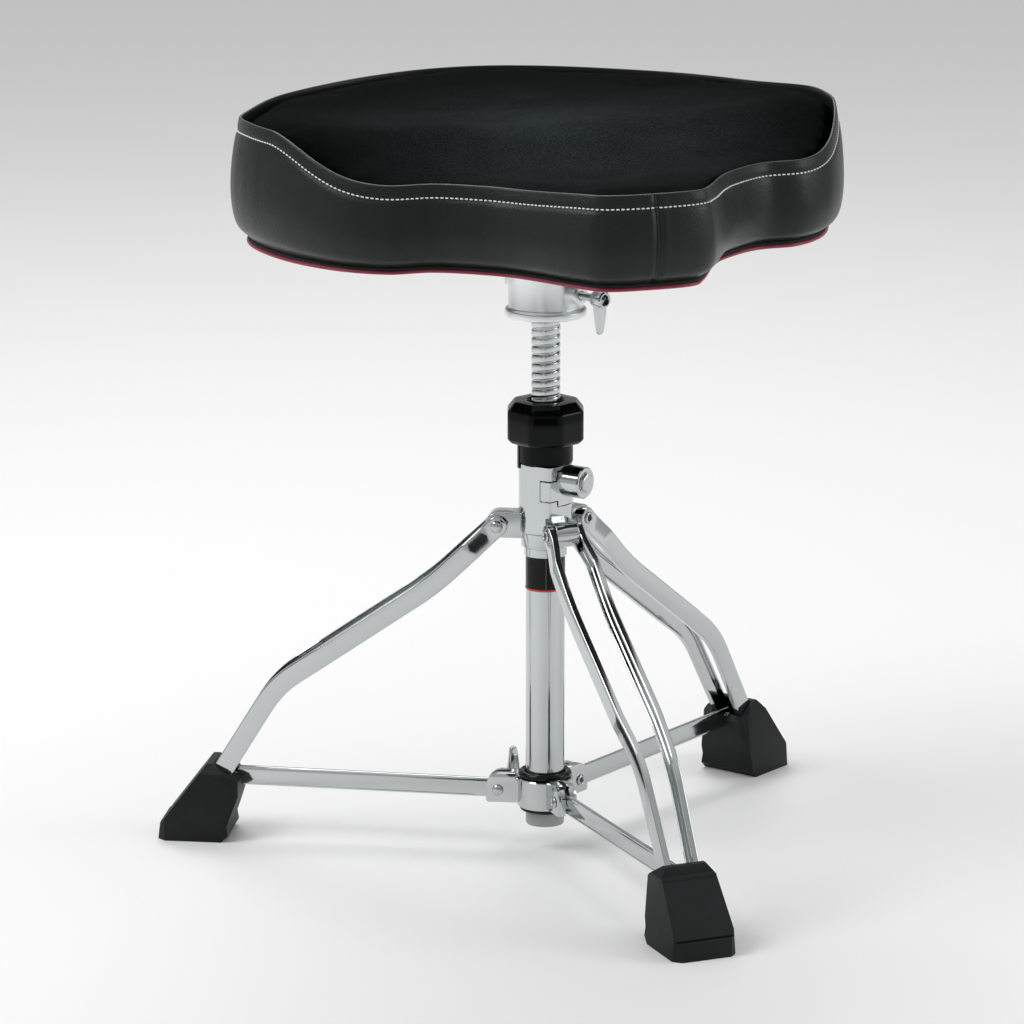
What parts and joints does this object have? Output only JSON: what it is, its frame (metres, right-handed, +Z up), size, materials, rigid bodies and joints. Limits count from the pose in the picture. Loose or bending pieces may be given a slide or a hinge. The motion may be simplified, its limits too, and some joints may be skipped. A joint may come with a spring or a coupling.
{
  "type": "drum throne",
  "caption": "Saddle-shaped padded drum throne on a threaded post with an octagonal height nut and a folding tripod with braced double-strip legs.",
  "frame": {"origin": "on the floor under the middle of the whole object's box; the column stands 43.2 mm behind it", "axes": "+Z up along the column, -Y towards the front leg and, within 3 degrees, the nose of the seat"},
  "size_m": [0.5412, 0.5171, 0.5785],
  "materials": {
    "chrome_plate": "polished chrome plate",
    "bright_steel": "bright zinc-plated steel",
    "zinc_thread": "bright plated coarse thread",
    "satin_cast_metal": "satin plated die casting",
    "grey_plastic": "satin grey moulding",
    "gloss_black_plastic": "glossy black moulding",
    "matt_black_plastic": "black moulding",
    "foot_rubber": "matt black rubber",
    "ring_rubber": "smooth black rubber",
    "red_ring": "red plastic",
    "grained_leatherette": "fine pebble grain",
    "seat_cloth": "short velvety pile",
    "foam": "upholstery foam",
    "crimson_piping": "satin crimson piping",
    "plywood": "plywood",
    "black_lining": "black non-woven lining"
  },
  "bodies": {
    "stand": {"base_tube": "chrome_plate", "tube_band": "matt_black_plastic", "band_ring": "red_ring", "tube_end_cap": "grey_plastic", "leg_holder": "chrome_plate", "neck_sleeve": "matt_black_plastic", "clamp_jaw_pin": "bright_steel", "leg_pin_front": "bright_steel", "leg_pin_left": "bright_steel", "leg_pin_right": "bright_steel"},
    "clamp_jaw": {"clamp_jaw": "chrome_plate"},
    "clamp_bolt": {"clamp_bolt": "bright_steel"},
    "nut": {"height_nut": "gloss_black_plastic", "nut_insert": "bright_steel"},
    "rod": {"threaded_rod": "zinc_thread", "rod_stop": "bright_steel"},
    "seat": {"seat_hub": "satin_cast_metal", "seat_board": "plywood", "seat_bottom_cover": "black_lining", "seat_foam": "foam", "seat_side_cover": "grained_leatherette", "seat_top_cover": "seat_cloth", "seat_piping": "crimson_piping", "bracket_screw_1": "bright_steel", "bracket_screw_2": "bright_steel", "bracket_screw_3": "bright_steel", "bracket_screw_4": "bright_steel", "t_nut_1": "bright_steel", "t_nut_2": "bright_steel", "t_nut_3": "bright_steel", "t_nut_4": "bright_steel"},
    "seat_wing_bolt": {"seat_wing_bolt": "chrome_plate"},
    "collar": {"collar": "chrome_plate", "collar_top_ring": "ring_rubber", "collar_low_ring": "ring_rubber", "collar_pin_front": "bright_steel", "collar_pin_left": "bright_steel", "collar_pin_right": "bright_steel"},
    "collar_wing_bolt": {"collar_wing_bolt": "chrome_plate"},
    "leg_front": {"leg_strip_front_a": "chrome_plate", "leg_strip_front_b": "chrome_plate", "foot_front": "foot_rubber"},
    "brace_front": {"brace_front": "chrome_plate", "brace_pin_front": "bright_steel"},
    "leg_left": {"leg_strip_left_a": "chrome_plate", "leg_strip_left_b": "chrome_plate", "foot_left": "foot_rubber"},
    "brace_left": {"brace_left": "chrome_plate", "brace_pin_left": "bright_steel"},
    "leg_right": {"leg_strip_right_a": "chrome_plate", "leg_strip_right_b": "chrome_plate", "foot_right": "foot_rubber"},
    "brace_right": {"brace_right": "chrome_plate", "brace_pin_right": "bright_steel"}
  },
  "joints": [
    {"name": "height_slide", "type": "slide", "parent": "stand", "child": "rod", "axis": [0, 0, 1], "range_m": [-0.064, 0.105]},
    {"name": "nut_spin", "type": "hinge", "parent": "stand", "child": "nut", "pos_m": [0, 0.04315, 0.34], "axis": [0, 0, 1], "range_deg": [-3415, 5601]},
    {"name": "seat_swivel", "type": "hinge", "parent": "rod", "child": "seat", "pos_m": [0, 0.04315, 0.4206], "axis": [0, 0, 1], "continuous": true},
    {"name": "seat_wing_bolt_turn", "type": "hinge", "parent": "seat", "child": "seat_wing_bolt", "pos_m": [0.01948, -0.00506, 0.441], "axis": [0.3746, -0.9272, 0], "continuous": true},
    {"name": "clamp_jaw_swing", "type": "hinge", "parent": "stand", "child": "clamp_jaw", "pos_m": [-0.00873, 0.02673, 0.2895], "axis": [0, 0, -1], "range_deg": [0, 5]},
    {"name": "clamp_bolt_turn", "type": "hinge", "parent": "clamp_jaw", "child": "clamp_bolt", "pos_m": [0.02041, 0.01289, 0.2944], "axis": [0.5592, -0.829, 0], "continuous": true},
    {"name": "collar_slide", "type": "slide", "parent": "stand", "child": "collar", "axis": [0, 0, 1], "range_m": [0, 0.12505]},
    {"name": "collar_wing_bolt_turn", "type": "hinge", "parent": "collar", "child": "collar_wing_bolt", "pos_m": [-0.01126, 0.07997, 0.045], "axis": [-0.2924, 0.9563, 0], "range_deg": [0, 180]},
    {"name": "leg_front_fold", "type": "hinge", "parent": "stand", "child": "leg_front", "pos_m": [0, 0.00735, 0.2574], "axis": [1, 0, 0], "range_deg": [0, 43.01]},
    {"name": "brace_front_fold", "type": "hinge", "parent": "collar", "child": "brace_front", "pos_m": [0, 0.00725, 0.04575], "axis": [1, 0, 0], "range_deg": [0, 87.91]},
    {"name": "leg_left_fold", "type": "hinge", "parent": "stand", "child": "leg_left", "pos_m": [-0.031, 0.06105, 0.2574], "axis": [-0.5, -0.866, 0], "range_deg": [0, 43.01]},
    {"name": "brace_left_fold", "type": "hinge", "parent": "collar", "child": "brace_left", "pos_m": [-0.03109, 0.0611, 0.04575], "axis": [-0.5, -0.866, 0], "range_deg": [0, 87.91]},
    {"name": "leg_right_fold", "type": "hinge", "parent": "stand", "child": "leg_right", "pos_m": [0.031, 0.06105, 0.2574], "axis": [-0.5, 0.866, 0], "range_deg": [0, 43.01]},
    {"name": "brace_right_fold", "type": "hinge", "parent": "collar", "child": "brace_right", "pos_m": [0.03109, 0.0611, 0.04575], "axis": [-0.5, 0.866, 0], "range_deg": [0, 87.91]}
  ],
  "couplings": [
    {"joint": "nut_spin", "follows": "height_slide", "rad_per_m": 930.84},
    {"joint": "leg_front_fold", "follows": "collar_slide", "rad_per_m": 6.0013},
    {"joint": "brace_front_fold", "follows": "collar_slide", "rad_per_m": 12.267},
    {"joint": "leg_left_fold", "follows": "collar_slide", "rad_per_m": 6.0013},
    {"joint": "brace_left_fold", "follows": "collar_slide", "rad_per_m": 12.267},
    {"joint": "leg_right_fold", "follows": "collar_slide", "rad_per_m": 6.0013},
    {"joint": "brace_right_fold", "follows": "collar_slide", "rad_per_m": 12.267}
  ]
}
